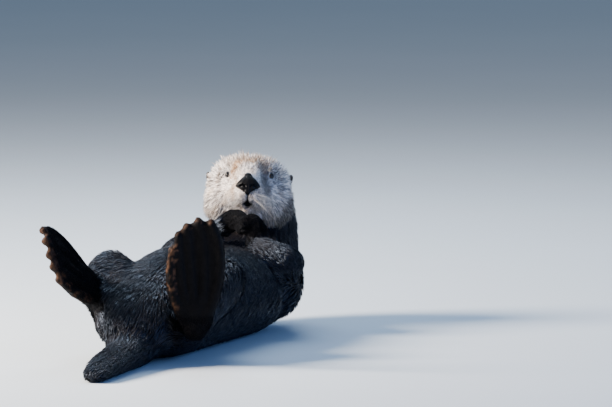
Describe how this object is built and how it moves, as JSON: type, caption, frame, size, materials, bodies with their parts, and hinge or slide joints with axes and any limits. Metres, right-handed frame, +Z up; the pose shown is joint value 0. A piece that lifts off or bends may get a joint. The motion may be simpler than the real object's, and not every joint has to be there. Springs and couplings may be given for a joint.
{
  "type": "sea otter",
  "caption": "Life-size still model of a sea otter on its back, hind feet raised, forepaws together on the chest and pale head lifted to look forward.",
  "frame": {"origin": "on the floor under the middle of the bounding box", "axes": "+Z up, the head toward +Y, the tail toward -Y; the belly is up, so the left side is +X"},
  "size_m": [0.3342, 1.1086, 0.3211],
  "materials": {
    "pale_fur": "pale straw guard hair with tan streaks",
    "dark_fur": "wet dark brown guard hair with pale tips",
    "bare_skin": "wet near-black skin with very short hair",
    "nose_pad": "moist black pebbled skin",
    "eye": "dark brown glass eye",
    "ear_skin": "dark thinly haired skin"
  },
  "bodies": {
    "root": {"head": "pale_fur", "neck": "dark_fur", "trunk": "dark_fur", "tail": "dark_fur", "foreleg_left": "dark_fur", "foreleg_right": "dark_fur", "hindleg_left": "dark_fur", "hindleg_right": "dark_fur", "forepaw_left": "bare_skin", "forepaw_right": "bare_skin", "hindfoot_left": "bare_skin", "hindfoot_right": "bare_skin", "nose": "nose_pad", "eye_left": "eye", "eye_right": "eye", "ear_left": "ear_skin", "ear_right": "ear_skin"}
  },
  "joints": []
}
